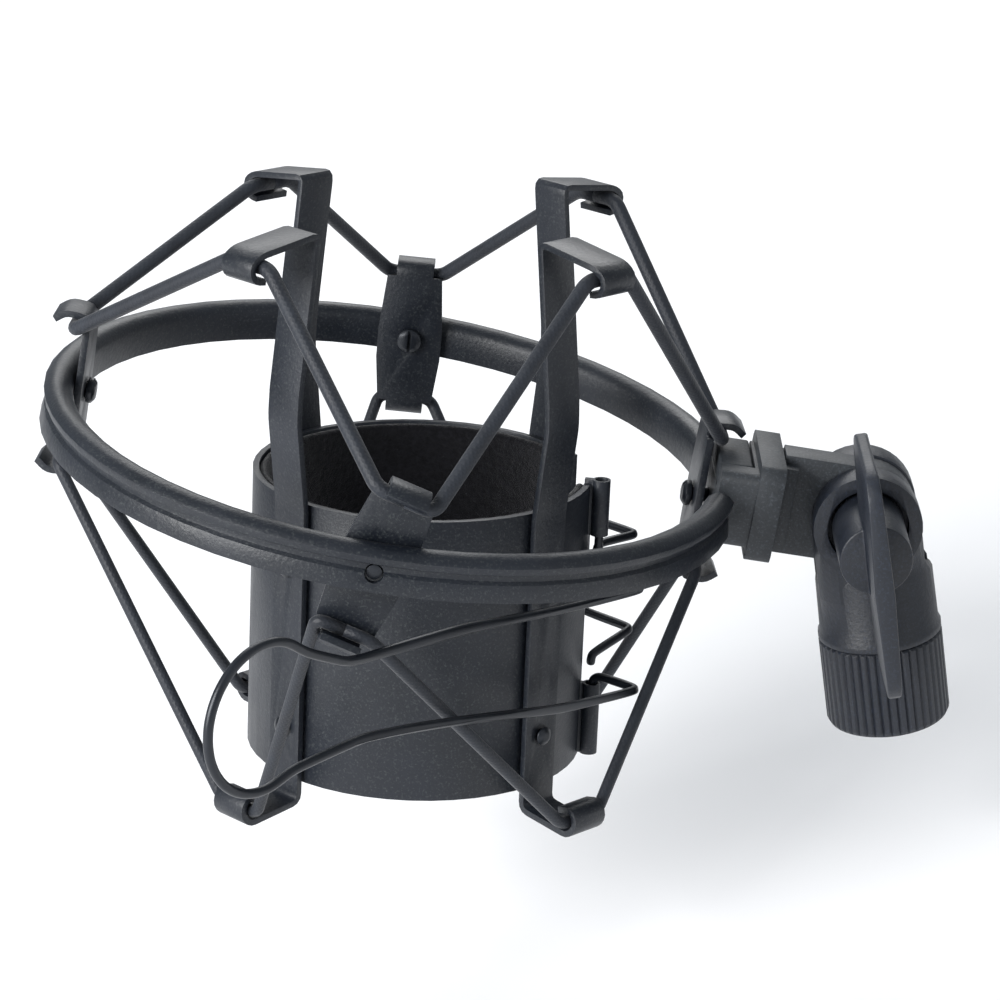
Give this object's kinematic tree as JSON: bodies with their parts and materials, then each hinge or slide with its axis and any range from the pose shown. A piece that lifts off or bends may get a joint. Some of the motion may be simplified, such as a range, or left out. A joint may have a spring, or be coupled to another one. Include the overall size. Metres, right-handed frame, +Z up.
{
  "type": "microphone shock mount",
  "caption": "Elastic shock mount for a side-address microphone: a felt-lined clamp cup hung by cords inside a ring, on a tilting, swivelling stand adapter.",
  "frame": {"origin": "centre of the stand collar's lower face", "axes": "+Z up along the stand collar's axis, the ring reaches towards -X, the wing knob points towards -Y"},
  "size_m": [0.1577, 0.1599, 0.1158],
  "materials": {
    "paint": "black powder coat, satin",
    "plastic": "moulded, fine grain, charcoal",
    "dark_plastic": "moulded, satin, blue-black",
    "steel": "zinc plated screws and nut",
    "brass": "machined",
    "black_steel": "black oxide wire and rivets",
    "felt": "black felt",
    "rubber": "elastic cord with a fine woven cover"
  },
  "bodies": {
    "stand_collar": {"thread_collar": "dark_plastic", "thread_insert": "brass"},
    "swivel": {"swivel_block": "dark_plastic", "pan_stem": "black_steel", "tilt_nut": "steel"},
    "head": {"arm": "plastic", "neck_body": "plastic", "neck_cap": "plastic", "ring": "paint", "hook_plate_left": "paint", "hook_plate_back": "paint", "hook_plate_right": "paint", "hook_plate_front": "paint", "plate_screw_left": "black_steel", "plate_screw_back": "black_steel", "plate_screw_right": "black_steel", "plate_screw_front": "black_steel", "upper_cord": "rubber", "lower_cord": "rubber"},
    "wing": {"wing_knob": "dark_plastic", "wing_stud": "steel"},
    "cup": {"cup_band": "paint", "felt_lining": "felt", "strap_front_left": "paint", "strap_back_left": "paint", "strap_front_right": "paint", "strap_back_right": "paint", "rivet_front_left_1": "black_steel", "rivet_front_left_2": "black_steel", "rivet_back_left_1": "black_steel", "rivet_back_left_2": "black_steel", "rivet_front_right_1": "black_steel", "rivet_front_right_2": "black_steel", "rivet_back_right_1": "black_steel", "rivet_back_right_2": "black_steel"},
    "lever": {"latch_lever": "black_steel"},
    "link": {"latch_link": "black_steel"}
  },
  "joints": [
    {"name": "pan", "type": "hinge", "parent": "stand_collar", "child": "swivel", "pos_m": [0, 0, 0.017], "axis": [0, 0, 1], "continuous": true},
    {"name": "tilt", "type": "hinge", "parent": "swivel", "child": "head", "pos_m": [-0.0006, 0, 0.0405], "axis": [0, 1, 0], "range_deg": [-26, 75]},
    {"name": "wing_turn", "type": "hinge", "parent": "swivel", "child": "wing", "pos_m": [-0.0006, 0, 0.0405], "axis": [0, -1, 0], "range_deg": [-30, 360]},
    {"name": "suspension", "type": "slide", "parent": "head", "child": "cup", "axis": [-0.1733, -0.061, -0.983], "range_m": [-0.0008, 0.005], "stiffness_N_per_m": 900, "springref_m": -0.0013, "deforming": ["upper_cord", "lower_cord"]},
    {"name": "lever_swing", "type": "hinge", "parent": "cup", "child": "lever", "pos_m": [-0.0509, -0.00674, 0.02877], "axis": [0.1733, 0.061, 0.983], "range_deg": [-1, 65]},
    {"name": "link_swing", "type": "hinge", "parent": "cup", "child": "link", "pos_m": [-0.05346, 0.01133, 0.0281], "axis": [0.1733, 0.061, 0.983], "range_deg": [-2, 14]}
  ],
  "couplings": [
    {"joint": "link_swing", "follows": "lever_swing", "ratio": 0.2}
  ]
}
